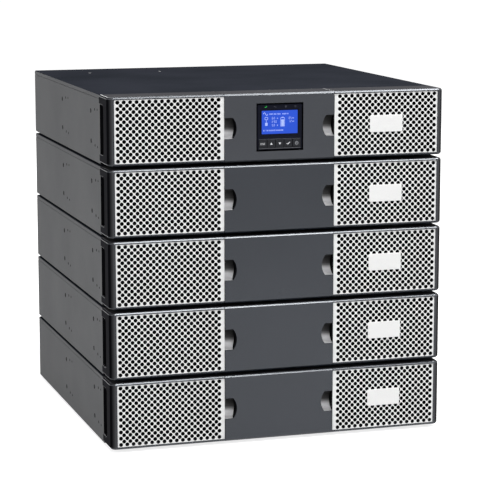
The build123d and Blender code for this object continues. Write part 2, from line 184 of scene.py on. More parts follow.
soft_box("over_front", (0.58, -0.55, 2.05), (0.55, -0.40, 0.0), width=1.7, height=0.26, watts=45.0)
soft_box("left_side", (-2.2, -0.9, 0.9), (-0.2, 0.0, 0.2), width=1.4, height=1.6, watts=13.0)
soft_box("front_fill", (-0.55, -2.3, 3.3), (0.0, -0.2, 0.2), width=2.2, height=1.6, watts=30.0)
soft_box("right_side", (2.4, -0.3, 0.9), (0.2, 0.0, 0.2), width=1.2, height=1.4, watts=8.0)
soft_box("rear_fill", (0.6, 3.2, 1.2), (0.0, 0.2, 0.2), width=2.2, height=1.6, watts=26.0)

# %% [markdown]
# ## Finishes
# No surface on the real object has one flat colour. Powder paint has a fine orange-peel skin, moulded
# plastic has a spark-eroded grain, and rubber is mottled and dusty. All of these come from noise of the
# right scale, read in object coordinates, so the grain keeps its real size and stays put when a piece
# moves.

# %% Helpers for finishes
NOISE_DARK = 0.32
NOISE_LIGHT = 0.68
NOISE_SMOOTH = 0.3
NOISE_ROUGH = 0.7
ROUGHNESS_SPREAD = 0.05
CLOUDS_PER_METRE = 9.0
MARK_GRAINS = 900.0
MARK_UNLIT = 0.1
finishes = {}


def new_finish(name, specular, roughness=0.5, metallic=0.0):
    """Keeps a new material under its name, and returns its node tree and its shader."""
    material = bpy.data.materials.new(name)
    material.use_nodes = True
    finishes[name] = material
    shader = material.node_tree.nodes["Principled BSDF"]
    shader.inputs["Roughness"].default_value = roughness
    shader.inputs["Specular IOR Level"].default_value = specular
    shader.inputs["Metallic"].default_value = metallic
    return material.node_tree, shader


def object_place(tree):
    """The place of a point in object coordinates."""
    return tree.nodes.new("ShaderNodeTexCoord").outputs["Object"]


def noise(tree, grains, detail=2.0):
    """Noise in object coordinates, with about so many grains to a metre."""
    texture = tree.nodes.new("ShaderNodeTexNoise")
    texture.inputs["Scale"].default_value = grains
    texture.inputs["Detail"].default_value = detail
    tree.links.new(object_place(tree), texture.inputs["Vector"])
    return texture.outputs[0]


def grade_colour(tree, shader, stops, value, socket="Base Color"):
    """Colour that follows a value through stops, each a position and a colour."""
    ramp = tree.nodes.new("ShaderNodeValToRGB")
    steps = ramp.color_ramp.elements
    for step, (position, colour) in zip(steps, (stops[0], stops[-1])):
        step.position = position
        step.color = (*colour, 1.0)
    for position, colour in stops[1:-1]:
        steps.new(position).color = (*colour, 1.0)
    tree.links.new(value, ramp.inputs["Fac"])
    tree.links.new(ramp.outputs["Color"], shader.inputs[socket])


def vary_colour(tree, shader, dark, light, value, socket="Base Color"):
    """Colour between dark and light, as noise goes through its middle range."""
    grade_colour(tree, shader, [(NOISE_DARK, dark), (NOISE_LIGHT, light)], value, socket)


def grain(tree, shader, grains, low, high, height):
    """A fine noise that moves roughness between low and high, and the surface by a height in metres."""
    fine = noise(tree, grains)
    spread = tree.nodes.new("ShaderNodeMapRange")
    spread.inputs["From Min"].default_value = NOISE_SMOOTH
    spread.inputs["From Max"].default_value = NOISE_ROUGH
    spread.inputs["To Min"].default_value = low
    spread.inputs["To Max"].default_value = high
    tree.links.new(fine, spread.inputs["Value"])
    tree.links.new(spread.outputs["Result"], shader.inputs["Roughness"])
    bump = tree.nodes.new("ShaderNodeBump")
    bump.inputs["Distance"].default_value = height
    tree.links.new(fine, bump.inputs["Height"])
    tree.links.new(bump.outputs["Normal"], shader.inputs["Normal"])


def grained(name, dark, light, roughness, specular, grains, height, metallic=0.0):
    """A skin with clouds of colour and a fine grain."""
    tree, shader = new_finish(name, specular, metallic=metallic)
    vary_colour(tree, shader, dark, light, noise(tree, CLOUDS_PER_METRE, detail=4.0))
    grain(tree, shader, grains, roughness - ROUGHNESS_SPREAD, roughness + ROUGHNESS_SPREAD, height)


def glowing(name, dark, light):
    """A lit mark behind clear plastic, a little uneven in its light."""
    tree, shader = new_finish(name, specular=0.05, roughness=0.35)
    shader.inputs["Emission Strength"].default_value = 1.0
    uneven = noise(tree, MARK_GRAINS)
    unlit = [tuple(MARK_UNLIT * v for v in colour) for colour in (dark, light)]
    vary_colour(tree, shader, *unlit, uneven)
    vary_colour(tree, shader, dark, light, uneven, "Emission Color")


print("helpers are ready")

# %% [markdown]
# ## Paint, plastic and rubber
# The case is folded steel under a dark grey powder paint. The lid has the same paint, and its top takes a
# much darker copy of it: painted shade. A smooth dark surface seen at a flat angle turns into a mirror,
# and powder paint doesn't, so its specular level is close to nothing. The front of the bezel is a satin
# dark
# plastic whose colour is mostly reflection. The centre cover of the top unit takes a lighter copy of it:
# painted light. The bezel's top takes a dull, lighter copy with no reflection, which is painted light, and
# its sides are painted shade. What lies behind the grilles is black, painted shade. Each row below holds a
# dark and a light colour, the roughness, the specular level, the grains to a metre, the height of the
# grain in metres and, for bare metal, how metallic it is.

# %% Grained skins
SKINS = {
    "case_paint": ((0.105, 0.107, 0.111), (0.124, 0.126, 0.130), 0.60, 0.05, 1700.0, 0.00003),
    # the lid's top: a much darker copy of the case paint, painted shade
    "lid_paint": ((0.017, 0.019, 0.024), (0.023, 0.025, 0.032), 0.65, 0.0, 1700.0, 0.00003),
    "bezel_plastic": ((0.008, 0.010, 0.015), (0.012, 0.014, 0.020), 0.23, 0.56, 2600.0, 0.000005),
    # the top unit's cover: a lighter copy of the bezel plastic, painted light
    "ups_cover_plastic": ((0.024, 0.026, 0.032), (0.030, 0.032, 0.038), 0.23, 0.56, 2600.0, 0.000005),
    # the bezel's top: a dull, lighter copy of the bezel plastic with no reflection, painted light
    "bezel_top": ((0.046, 0.046, 0.050), (0.055, 0.055, 0.059), 0.60, 0.0, 2600.0, 0.00001),
    # black for what lies deep in shade: painted shade
    "inner_black": ((0.003, 0.003, 0.004), (0.006, 0.006, 0.007), 0.70, 0.02, 1500.0, 0.00001),
    "grille_plastic": ((0.79, 0.795, 0.79), (0.85, 0.855, 0.85), 0.50, 0.30, 2200.0, 0.00001),
    "display_plastic": ((0.006, 0.007, 0.013), (0.009, 0.010, 0.018), 0.30, 0.04, 900.0, 0.000004),
    "screen_glass": ((0.003, 0.003, 0.006), (0.005, 0.005, 0.009), 0.15, 0.06, 700.0, 0.000002),
    "key_plastic": ((0.012, 0.013, 0.016), (0.017, 0.018, 0.022), 0.42, 0.15, 2600.0, 0.00001),
    "foot_rubber": ((0.010, 0.010, 0.010), (0.018, 0.018, 0.018), 0.85, 0.10, 1200.0, 0.00004),
    "guard_steel": ((0.022, 0.022, 0.023), (0.034, 0.034, 0.035), 0.38, 0.50, 1500.0, 0.00001),
    "panel_paint": ((0.070, 0.071, 0.074), (0.088, 0.089, 0.092), 0.50, 0.20, 1700.0, 0.00002),
    "socket_plastic": ((0.010, 0.010, 0.011), (0.017, 0.017, 0.018), 0.45, 0.30, 2000.0, 0.00001),
    "dim_mark": ((0.062, 0.064, 0.082), (0.080, 0.082, 0.105), 0.50, 0.10, 900.0, 0.000002),
    "white_ink": ((0.62, 0.63, 0.66), (0.74, 0.75, 0.78), 0.55, 0.20, 1800.0, 0.000004),
    "grey_ink": ((0.26, 0.27, 0.29), (0.34, 0.35, 0.37), 0.55, 0.20, 1800.0, 0.000004),
    # grey for the edges of the display housing: painted highlight
    "lip_plastic": ((0.085, 0.088, 0.098), (0.105, 0.108, 0.118), 0.40, 0.30, 1800.0, 0.000004),
    "pad_plastic": ((0.83, 0.83, 0.825), (0.87, 0.87, 0.865), 0.30, 0.30, 900.0, 0.000004),
    "screw_steel": ((0.16, 0.16, 0.17), (0.24, 0.24, 0.25), 0.34, 0.50, 1500.0, 0.000004, 0.85),
    "contact_metal": ((0.30, 0.29, 0.26), (0.40, 0.39, 0.36), 0.34, 0.50, 1500.0, 0.000002, 1.0),
}
COOL_MIRROR = (0.90, 0.94, 1.0, 1.0)
for name, skin in SKINS.items():
    grained(name, *skin)
for name in ("bezel_plastic", "ups_cover_plastic"):
    cover_shader = finishes[name].node_tree.nodes["Principled BSDF"]
    cover_shader.inputs["Specular Tint"].default_value = COOL_MIRROR
print("finishes:", sorted(finishes))

# %% [markdown]
# ## Painted shade on the round corners, and the lit screen
# The bezel's round corners go from a satin front to a dull, nearly black side. The dark is painted shade,
# graded by the direction that a face looks in, which tells the shader where on the corner it is. The
# screen is a lit liquid crystal panel: its blue light comes from behind and shows fine rows of picture
# points when looked at closely, so the blue is emission, and a wave texture as fine as those rows varies
# it.

# %% Painted corner shade and screen finishes
# from the front of the corner to its side the colour falls to nearly black: painted shade
CORNER_PAINTED_SHADES = [(0.20, (0.070, 0.071, 0.076)), (0.80, (0.004, 0.004, 0.005)),
                 (0.985, (0.004, 0.004, 0.005)), (1.00, (0.026, 0.026, 0.029))]
PICTURE_ROWS = 330.0
tree, shader = new_finish("bezel_side_painted_shade", specular=0.0)
direction = tree.nodes.new("ShaderNodeNewGeometry")
axes = tree.nodes.new("ShaderNodeSeparateXYZ")
sideways = tree.nodes.new("ShaderNodeMath")
sideways.operation = "ABSOLUTE"
tree.links.new(direction.outputs["True Normal"], axes.inputs["Vector"])
tree.links.new(axes.outputs["X"], sideways.inputs[0])
grade_colour(tree, shader, CORNER_PAINTED_SHADES, sideways.outputs[0])
grain(tree, shader, grains=2600.0, low=0.45, high=0.60, height=0.00001)

tree, shader = new_finish("blue_light", specular=0.05, roughness=0.2)
shader.inputs["Emission Strength"].default_value = 1.0
vary_colour(tree, shader, (0.004, 0.010, 0.080), (0.006, 0.014, 0.100), noise(tree, grains=60.0))
dot_rows = tree.nodes.new("ShaderNodeTexWave")
dot_rows.bands_direction = "Z"
dot_rows.inputs["Scale"].default_value = PICTURE_ROWS
tree.links.new(object_place(tree), dot_rows.inputs["Vector"])
vary_colour(tree, shader, (0.022, 0.076, 0.54), (0.030, 0.096, 0.64), dot_rows.outputs["Fac"],
            "Emission Color")
glowing("pale_mark", (0.36, 0.46, 0.92), (0.46, 0.56, 1.00))
glowing("green_mark", (0.020, 0.42, 0.060), (0.040, 0.56, 0.090))
print("finishes so far:", len(finishes))

# %% [markdown]
# ## Dressing the CAD nodes
# A CAD edge is perfectly sharp, and a real one never is: sheet is bent and plastic is moulded with small
# radii that catch the light. The nodes' own vertices must stay as they are, but a modifier leaves them
# so. A weld joins the faces that the file keeps apart, a planar pass removes the slivers, a small bevel
# rounds the edges, and weighted normals keep the flats flat. A face of a bezel or a case can also take a
# second finish, picked by its place.

# %% Finish and soft edges of every CAD node
EDGE_RADIUS = {"case_paint": 0.35, "lid_paint": 0.35, "bezel_plastic": 0.40, "display_plastic": 0.25,
               "key_plastic": 0.3, "foot_rubber": 0.4, "panel_paint": 0.25, "socket_plastic": 0.3}
FINISH_OF_SLOT = {"keys": "key_plastic", "rubber": "foot_rubber"}
WELD_DISTANCE = 0.00001
FLAT_ANGLE = math.radians(0.6)
SHARP_ANGLE = math.radians(28)
STRAIGHT = 0.9
UPWARD = 0.5
SLANTED = 0.2
NEAR = 0.5
HAIR = 0.1
frame_low, frame_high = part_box("battery_1_end_frames")
BEZEL_FRONT = frame_low.y / MM
BEZEL_MIDDLE = (frame_low.z + frame_high.z) / 2 / MM
BEZEL_HALF_HEIGHT = (frame_high.z - frame_low.z) / 2 / MM
BEZEL_HALF_WIDTH = frame_high.x / MM
COVER_HALF_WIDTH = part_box("battery_1_centre_cover")[1].x / MM
CASE_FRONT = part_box("battery_1_case")[0].y / MM
CORNER_RADIUS = 8.0
GRILLE_DEPTH = 3.2
OUTER_SKIN = 4.5
WINDOW_HALF_HEIGHT = 30.5


def bezel_skin(middle, facing, lift):
    """The finish of one bezel face, from its middle and the direction that it faces."""
    across = abs(middle.x) / MM
    depth = middle.y / MM - BEZEL_FRONT
    height = abs((middle.z - lift) / MM - BEZEL_MIDDLE)
    # top faces: the dull, lighter copy of the plastic, painted light
    if facing.z > STRAIGHT and height > BEZEL_HALF_HEIGHT - NEAR:
        return "bezel_top"
    # the round corners and the sides: painted shade
    if across > BEZEL_HALF_WIDTH - CORNER_RADIUS and abs(facing.x) > SLANTED:
        return "bezel_side_painted_shade"
    # the cover's ends, the space behind the grilles and the window: black, painted shade
    if abs(across - COVER_HALF_WIDTH) < NEAR and abs(facing.x) > STRAIGHT:
        return "inner_black"
    if depth > GRILLE_DEPTH and height < BEZEL_HALF_HEIGHT - OUTER_SKIN:
        return "inner_black"
    if depth > HAIR and across < COVER_HALF_WIDTH - HAIR and height < WINDOW_HALF_HEIGHT:
        return "inner_black"
    return "bezel_plastic"


def case_skin(middle, facing, lift):
    """Black of painted shade on the front wall, which only shows through the grilles, and paint elsewhere.
    """
    if facing.y < -STRAIGHT and middle.y / MM < CASE_FRONT + NEAR:
        return "inner_black"
    return "case_paint"


def lid_skin(middle, facing, lift):
    """A darker copy of the case paint on top, which is painted shade, and the case paint on the flanges in
    its sides.
    """
    return "lid_paint" if facing.z > UPWARD else "case_paint"


def soften(thing, radius, segments=3, large_flats=False, edge_slot=-1):
    """Rounds the sharp edges of an object with modifiers, after joining the slivers of large flats."""
    thing.modifiers.new("weld", "WELD").merge_threshold = WELD_DISTANCE
    if large_flats:
        planar = thing.modifiers.new("planar", "DECIMATE")
        planar.decimate_type = "DISSOLVE"
        planar.angle_limit = FLAT_ANGLE
        planar.delimit = {"MATERIAL"}
    bevel = thing.modifiers.new("soft_edges", "BEVEL")
    bevel.width = radius * MM
    bevel.segments = segments
    bevel.limit_method = "ANGLE"
    bevel.angle_limit = SHARP_ANGLE
    bevel.use_clamp_overlap = True
    bevel.material = edge_slot
    thing.modifiers.new("normals", "WEIGHTED_NORMAL").keep_sharp = True


SKIN_RULES = {"bezel_plastic": bezel_skin, "case_paint": case_skin, "lid_paint": lid_skin}


def dress(node, finish, lift):
    """Gives each face the skin that the rule for this finish names, or the finish itself."""
    mesh = node.data
    mesh.materials.clear()
    rule = SKIN_RULES.get(finish)
    order = []
    for face in mesh.polygons:
        skin = rule(face.center, face.normal, lift) if rule else finish
        if skin not in order:
            order.append(skin)
            mesh.materials.append(finishes[skin])
        face.material_index = order.index(skin)
        face.use_smooth = True
    return order


slot_of = {row["node"]: row["material_slot"] for row in frame["record"]["subparts"]}
for name, node in nodes.items():
    lift = LIFT[next((unit for unit in UNITS if name.startswith(unit)), "ups")]
    finish = FINISH_OF_SLOT.get(slot_of[name], slot_of[name])
    # the top of every lid takes the darker copy of the paint: painted shade
    if name.endswith("_lid"):
        finish = "lid_paint"
    order = dress(node, finish, lift)
    edge_slot = order.index(finish) if finish == "bezel_plastic" else -1
    # the top unit's cover takes the lighter copy of the bezel plastic: painted light
    if name == "ups_centre_cover":
        node.data.materials[edge_slot] = finishes["ups_cover_plastic"]
    if finish in EDGE_RADIUS:
        soften(node, EDGE_RADIUS[finish], large_flats=finish in SKIN_RULES, edge_slot=edge_slot)
print("dressed nodes:", len(nodes))

# %% [markdown]
# ## Drawing plates
# Most of the fine detail is flat work: perforated plates, pads, signs, rims and screw heads. A flat curve
# with one outline and any number of hole outlines fills itself, and its own bevel rounds every rim. It is
# drawn lying down, turned to a mesh and stood up in its place, facing the front. All is in millimetres.

# %% Helpers for flat work
JOIN_DISTANCE = 0.000002


def circle(x, z, radius, sides):
    """Points of a circle."""
    angles = [2 * math.pi * i / sides for i in range(sides)]
    return [(x + radius * math.cos(angle), z + radius * math.sin(angle)) for angle in angles]


def rounded_box(x, z, width, height, radius, steps=4):
    """Points of a rectangle with round corners."""
    points = []
    for turn, (sx, sz) in enumerate(((1, 1), (-1, 1), (-1, -1), (1, -1))):
        for step in range(steps + 1):
            angle = math.pi / 2 * (turn + step / steps)
            points.append((x + sx * (width / 2 - radius) + radius * math.cos(angle),
                           z + sz * (height / 2 - radius) + radius * math.sin(angle)))
    return points


def stroke(points, width):
    """Outline of a line of even width through some points."""
    left, right = [], []
    for i, (x, z) in enumerate(points):
        before = Vector(points[max(i - 1, 0)])
        after = Vector(points[min(i + 1, len(points) - 1)])
        along = (after - before).normalized() * width / 2
        left.append((x - along.y, z + along.x))
        right.append((x + along.y, z - along.x))
    return left + right[::-1]


def plate_mesh(name, outlines, thickness, edge, front_y):
    """A plate that faces the front, filled between its outlines."""
    curve = bpy.data.curves.new(name, "CURVE")
    curve.dimensions = "2D"
    curve.fill_mode = "BOTH"
    curve.extrude = (thickness / 2 - edge) * MM
    curve.bevel_depth = edge * MM
    curve.bevel_resolution = 0
    curve.offset = -edge * MM
    for outline in outlines:
        spline = curve.splines.new("POLY")
        spline.points.add(len(outline) - 1)
        for point, (x, z) in zip(spline.points, outline):
            point.co = (x * MM, z * MM, 0.0, 1.0)
        spline.use_cyclic_u = True
    drawing = new_object(name, curve)
    mesh = bpy.data.meshes.new_from_object(drawing.evaluated_get(bpy.context.evaluated_depsgraph_get()))
    bpy.data.objects.remove(drawing)
    bpy.data.curves.remove(curve)
    into_place = Matrix.Translation((0.0, (front_y + thickness / 2) * MM, 0.0))
    mesh.transform(into_place @ Matrix.Rotation(math.pi / 2, 4, "X"))
    return mesh


def face_rows(form, rows):
    """Fills a bmesh with faces between each row of its points and the next."""
    for row, following in zip(rows, rows[1:]):
        for i in range(len(row) - 1):
            form.faces.new((row[i], row[i + 1], following[i + 1], following[i]))
    bmesh.ops.recalc_face_normals(form, faces=form.faces)


def mesh_from(form, name):
    """A mesh from a bmesh, which is done with."""
    mesh = bpy.data.meshes.new(name)
    form.to_mesh(mesh)
    form.free()
    return mesh


def join_meshes(name, meshes):
    """One welded mesh from several."""
    joined = bmesh.new()
    for mesh in meshes:
        joined.from_mesh(mesh)
        bpy.data.meshes.remove(mesh)
    bmesh.ops.remove_doubles(joined, verts=joined.verts, dist=JOIN_DISTANCE)
    return mesh_from(joined, name)


def add_piece(name, mesh, finish, body="stack", lift=0.0):
    """Puts a mesh into the scene as a piece that rides on a body, with a finish if it has none yet."""
    piece = new_object(name, mesh)
    piece.location.z = lift
    if not mesh.materials:
        mesh.materials.append(finishes[finish])
    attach(piece, body)
    return piece


def add_to_units(kind, mesh, finish):
    """Puts one mesh on all five units, and returns the five pieces."""
    return [add_piece(f"{unit}_{kind}", mesh, finish, lift=LIFT[unit]) for unit in UNITS]


def middle_of(node):
    """The middle of a node's box across and up, in millimetres."""
    low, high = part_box(node)
    return (low.x + high.x) / 2 / MM, (low.z + high.z) / 2 / MM


print("flat work is ready")

# %% [markdown]
# ## The perforated grilles
# Each pale plate has 17 columns of small round holes with a second grid set half a step between them. A
# texture could fake them, but then one couldn't see into them, so every hole is cut. Only what faces the
# front is pale: the walls of the holes and the back of the plate are black, painted shade for the dark
# inside the holes.

# %% Perforated plates
HOLE_STEP = 8.0
HOLE_RADIUS = 2.52
HOLE_SIDES = 16
HOLE_COLUMNS = 17
HOLE_ROWS = 10
OUTER_MARGIN = 4.3
PLATE_INNER = 72.4
PLATE_THICKNESS = 1.2
PLATE_EDGE = 0.2
PLATE_CORNER = 0.5
PALE_FACING = -0.3
PAD_WIDTH = 44.0
PAD_HEIGHT = 21.4
plate_low, plate_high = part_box("battery_1_grilles")
plate_top = plate_high.z / MM
plate_bottom = plate_low.z / MM
plate_outer = plate_high.x / MM
plate_front = plate_low.y / MM
plate_middle_x = (PLATE_INNER + plate_outer) / 2
plate_middle_z = (plate_top + plate_bottom) / 2


def plate_outlines(side):
    """The edge and the holes of the plate on one side, with no holes where the bare pad hides them."""
    outlines = [rounded_box(side * plate_middle_x, plate_middle_z, plate_outer - PLATE_INNER,
                            plate_top - plate_bottom, PLATE_CORNER)]
    first_x = plate_outer - OUTER_MARGIN
    first_z = plate_middle_z + (HOLE_ROWS - 1) * HOLE_STEP / 2
    for offset in (0, 1):
        for column in range(HOLE_COLUMNS - offset):
            for row in range(HOLE_ROWS - offset):
                x = side * (first_x - (column + offset / 2) * HOLE_STEP)
                z = first_z - (row + offset / 2) * HOLE_STEP
                under_pad = (abs(x - plate_middle_x) < PAD_WIDTH / 2 - HOLE_RADIUS
                             and abs(z - plate_middle_z) < PAD_HEIGHT / 2 - HOLE_RADIUS)
                if not under_pad:
                    outlines.append(circle(x, z, HOLE_RADIUS, HOLE_SIDES))
    return outlines


plates = [plate_mesh("plate", plate_outlines(side), PLATE_THICKNESS, PLATE_EDGE, plate_front)
          for side in (-1, 1)]
grille_mesh = join_meshes("perforated_plates", plates)
# the walls of the holes and the back of the plates: black, painted shade
for finish in ("grille_plastic", "inner_black"):
    grille_mesh.materials.append(finishes[finish])
for face in grille_mesh.polygons:
    face.material_index = int(face.normal.y > PALE_FACING)
pieces = add_to_units("perforated_plates", grille_mesh, "grille_plastic")
for unit, piece in zip(UNITS, pieces):
    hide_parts(f"{unit}_grilles")
print("faces in one pair of plates:", len(grille_mesh.polygons))

# %% [markdown]
# ## The bare pads
# A small smooth plate is clipped over the middle of each right grille. Its rounded rim, standing half a
# millimetre proud, gives the soft shadow line around it.

# %% Bare pads
PAD_PROUD = 0.45
PAD_SUNK = 0.3
PAD_EDGE = 0.2
PAD_CORNER = 1.2
pad_outline = rounded_box(plate_middle_x, plate_middle_z, PAD_WIDTH, PAD_HEIGHT, PAD_CORNER)
pad_mesh = plate_mesh("bare_pad", [pad_outline], PAD_PROUD + PAD_SUNK, PAD_EDGE, plate_front - PAD_PROUD)
add_to_units("bare_pad", pad_mesh, "pad_plastic")
print("bare pads:", len(UNITS))

# %% [markdown]
# ## Painted shade and highlight in the finger scoops
# Each scoop is lined with a thin skin that follows its hollow, a lying cylinder, and ends on the
# scoop's bulging outline. Its colour is painted light, graded by height: black in the upper half for the
# shade there, and pale in the lower half for the highlight there, with a fade between them.

# %% Scoop linings of painted shade and highlight
SCOOP_RADIUS = 13.25
SCOOP_STRAIGHT = 10.6
SCOOP_BULGE = 5.0
LINING_THICKNESS = 0.3
LINING_CLEARANCE = 0.02
LINING_BULGE_GAP = 0.15
LINING_END_GAP = 0.05
LINING_STEPS = 32
LINING_FIRST = math.radians(-80)
LINING_LAST = math.radians(84)
# black above and pale below: painted shade in the upper half, painted highlight in the lower half
SCOOP_PAINTED_SHADES = [(0.00, 0.003), (0.36, 0.008), (0.48, 0.032), (0.58, 0.22),
               (0.66, 0.66), (0.73, 0.96), (0.89, 0.96), (0.97, 0.38)]
SHADE_BLUE = 1.02
bulge_radius = (SCOOP_RADIUS ** 2 + SCOOP_BULGE ** 2) / (2 * SCOOP_BULGE)
bulge_centre = COVER_HALF_WIDTH - SCOOP_STRAIGHT - SCOOP_BULGE + bulge_radius


def lining_mesh(side):
    """The skin in one scoop."""
    skin = bmesh.new()
    rows = []
    outer = COVER_HALF_WIDTH - LINING_END_GAP
    for step in range(LINING_STEPS + 1):
        angle = LINING_FIRST + (LINING_LAST - LINING_FIRST) * step / LINING_STEPS
        drop = (SCOOP_RADIUS - LINING_CLEARANCE) * math.sin(angle)
        depth = (SCOOP_RADIUS - LINING_CLEARANCE) * math.cos(angle)
        inner = bulge_centre - math.sqrt(bulge_radius ** 2 - drop ** 2) + LINING_BULGE_GAP
        y = (BEZEL_FRONT + depth) * MM
        z = (BEZEL_MIDDLE - drop) * MM
        rows.append([skin.verts.new((side * x * MM, y, z))
                     for x in (inner, (inner + COVER_HALF_WIDTH) / 2, outer)])
    face_rows(skin, rows)
    if skin.faces[0].normal.y > 0:
        bmesh.ops.reverse_faces(skin, faces=skin.faces)
    bmesh.ops.solidify(skin, geom=skin.faces[:], thickness=-LINING_THICKNESS * MM)
    bmesh.ops.recalc_face_normals(skin, faces=skin.faces)
    return mesh_from(skin, "scoop_shade_lining")


# colour graded by height from black to pale: painted shade and painted highlight
tree, shader = new_finish("scoop_painted_shade", specular=0.50, metallic=0.25)
height = tree.nodes.new("ShaderNodeSeparateXYZ")
fade = tree.nodes.new("ShaderNodeMapRange")
fade.inputs["From Min"].default_value = (BEZEL_MIDDLE + SCOOP_RADIUS) * MM
fade.inputs["From Max"].default_value = (BEZEL_MIDDLE - SCOOP_RADIUS) * MM
tree.links.new(object_place(tree), height.inputs["Vector"])
tree.links.new(height.outputs["Z"], fade.inputs["Value"])
shades = [(position, (shade, shade, shade * SHADE_BLUE)) for position, shade in SCOOP_PAINTED_SHADES]
grade_colour(tree, shader, shades, fade.outputs["Result"])
grain(tree, shader, grains=1800.0, low=0.46, high=0.56, height=0.000005)
linings = join_meshes("scoop_shade_linings", [lining_mesh(side) for side in (-1, 1)])
for face in linings.polygons:
    face.use_smooth = True
for piece in add_to_units("scoop_shade_linings", linings, "scoop_painted_shade"):
    piece.modifiers.new("normals", "WEIGHTED_NORMAL")
print("scoop grips:", len(UNITS))

# %% [markdown]
# ## The picture on the screen
# The glass is dark, and the lit area inside it is a little smaller. On it stand pale marks: a wave, rows
# that look like small text, some seven-bar figures, a plug and a battery. They are thin plates, so they
# stay sharp at any distance. The rows are made of bars and rings in a fixed random order and spell
# nothing.

# %% Lit area and its marks
LIT_WIDTH = 47.0
LIT_HEIGHT = 29.2
LIT_CORNER = 0.4
FILM_THICKNESS = 0.06
FILM_EDGE = 0.01
FILM_PROUD = 0.04
MARK_PROUD = 0.05
FIGURE_HEIGHT = 2.5
FIGURE_STEP = 2.3
TEXT_HEIGHT = 2.0
UNIT_HEIGHT = 1.7
WAVE_STEPS = 14
SCREEN_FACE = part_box("display_screen")[0].y / MM
screen_x, screen_z = middle_of("display_screen")
BARS = {"0": "abcdef", "1": "bc", "2": "abged", "3": "abgcd", "5": "afgcd", "6": "afgedc", "8": "abcdefg"}
BAR_PLACES = {"a": (0, 2), "b": (1, 1), "c": (1, -1), "d": (0, -2), "e": (-1, -1), "f": (-1, 1),
              "g": (0, 0)}
ADVANCE = {"ring": 0.95, "bar": 0.48, "gap": 0.35}


def figure(sign, x, z, height):
    """The lit bars of one seven-bar figure around x, z."""
    arm = height * 0.26
    bar = height * 0.16
    outlines = []
    for letter in BARS[sign]:
        across, up = BAR_PLACES[letter]
        lying = across == 0
        width = 2 * arm - bar * 0.8 if lying else bar
        tall = bar if lying else height / 2 - bar * 0.8
        outlines.append(rounded_box(x + across * arm, z + up * height / 4, width, tall, bar * 0.3, 1))
    return outlines


def small_text(x, z, end, height, seed):
    """A row from x to its end that looks like small text, of bars and rings in a fixed random order."""
    pick = random.Random(seed)
    outlines = []
    while x < end - height:
        kind = pick.choice(("ring", "ring", "bar", "gap"))
        if kind == "ring":
            for width, tall, radius in ((0.72, 0.8, 0.2), (0.30, 0.36, 0.1)):
                outlines.append(rounded_box(x + 0.42 * height, z, width * height, tall * height,
                                            radius * height, 2))
        elif kind == "bar":
            outlines.append(rounded_box(x + 0.16 * height, z + 0.08 * height, 0.24 * height, height,
                                        0.08 * height, 1))
        x += ADVANCE[kind] * height
    return outlines


def value_row(signs, x, z, end, seed):
    """Figures from x on, and small text behind them up to the end."""
    outlines = []
    for index, sign in enumerate(signs):
        outlines += figure(sign, x + index * FIGURE_STEP, z, FIGURE_HEIGHT)
    return outlines + small_text(x + len(signs) * FIGURE_STEP - 0.6, z - 0.2, end, UNIT_HEIGHT, seed)


def wave_icon(x, z, width, height, line):
    """One period of a sine wave."""
    shares = [i / WAVE_STEPS for i in range(WAVE_STEPS + 1)]
    points = [(x + width * (share - 0.5), z + height / 2 * math.sin(2 * math.pi * share))
              for share in shares]
    return [stroke(points, line)]


def battery_icon(x, z, width, height, line):
    """A standing battery, filled to four fifths."""
    return [rounded_box(x, z, width, height, 0.4, 2),
            rounded_box(x, z, width - 2 * line, height - 2 * line, 0.2, 2),
            rounded_box(x, z - 0.08 * height, width - 4 * line, 0.72 * height, 0.1, 1),
            rounded_box(x, z + height / 2 + 0.45, width * 0.5, 0.7, 0.2, 1)]


def plug_icon(x, z, line):
    """A socket above a load, joined by a lead."""
    return [rounded_box(x, z + 4.2, 4.2, 3.6, 0.8, 3),
            rounded_box(x, z + 4.2, 4.2 - 2 * line, 3.6 - 2 * line, 0.5, 3),
            rounded_box(x, z + 0.6, line, 3.0, 0.1, 1),
            rounded_box(x, z - 3.0, 3.2, 3.8, 0.5, 2)]


def film_mesh(name, outlines, proud=FILM_PROUD):
    """A thin film that stands so far proud of the screen."""
    return plate_mesh(name, outlines, FILM_THICKNESS, FILM_EDGE, SCREEN_FACE - proud)


marks = wave_icon(-18.5, 10.4, width=6.0, height=3.6, line=0.7)
marks += small_text(-13.5, 10.2, end=12.5, height=TEXT_HEIGHT, seed=3)
marks += plug_icon(-17.5, 0.6, line=0.6)
marks += battery_icon(3.8, 0.0, width=5.6, height=11.0, line=0.5)
for row_z, signs in ((5.0, "60"), (0.6, "230"), (-3.8, "50")):
    marks += value_row(signs, -9.5, row_z, end=-0.5, seed=11)
for row_z, signs in ((4.8, "85"), (0.6, "12")):
    marks += value_row(signs, 12.5, row_z, end=20.5, seed=8)
marks += small_text(-21.5, -10.2, end=8.5, height=TEXT_HEIGHT, seed=21)
marks = [[(x + screen_x, z + screen_z) for x, z in outline] for outline in marks]
lit_mesh = film_mesh("lit_area", [rounded_box(screen_x, screen_z, LIT_WIDTH, LIT_HEIGHT, LIT_CORNER)])
add_piece("screen_lit_area", lit_mesh, "blue_light", "display")
mark_mesh = film_mesh("marks", marks, FILM_PROUD + MARK_PROUD)
add_piece("screen_marks", mark_mesh, "pale_mark", "display")
print("marks on the screen:", len(marks))

# %% [markdown]
# ## Status lights and painted highlights on the display
# Above the screen four small signs shine through the black plastic. The first is lit green, and the
# others are off. Along the bottom of the housing runs a grey strip, a painted highlight of its bottom
# edge, and a thin grey line of painted highlight runs above the keys.

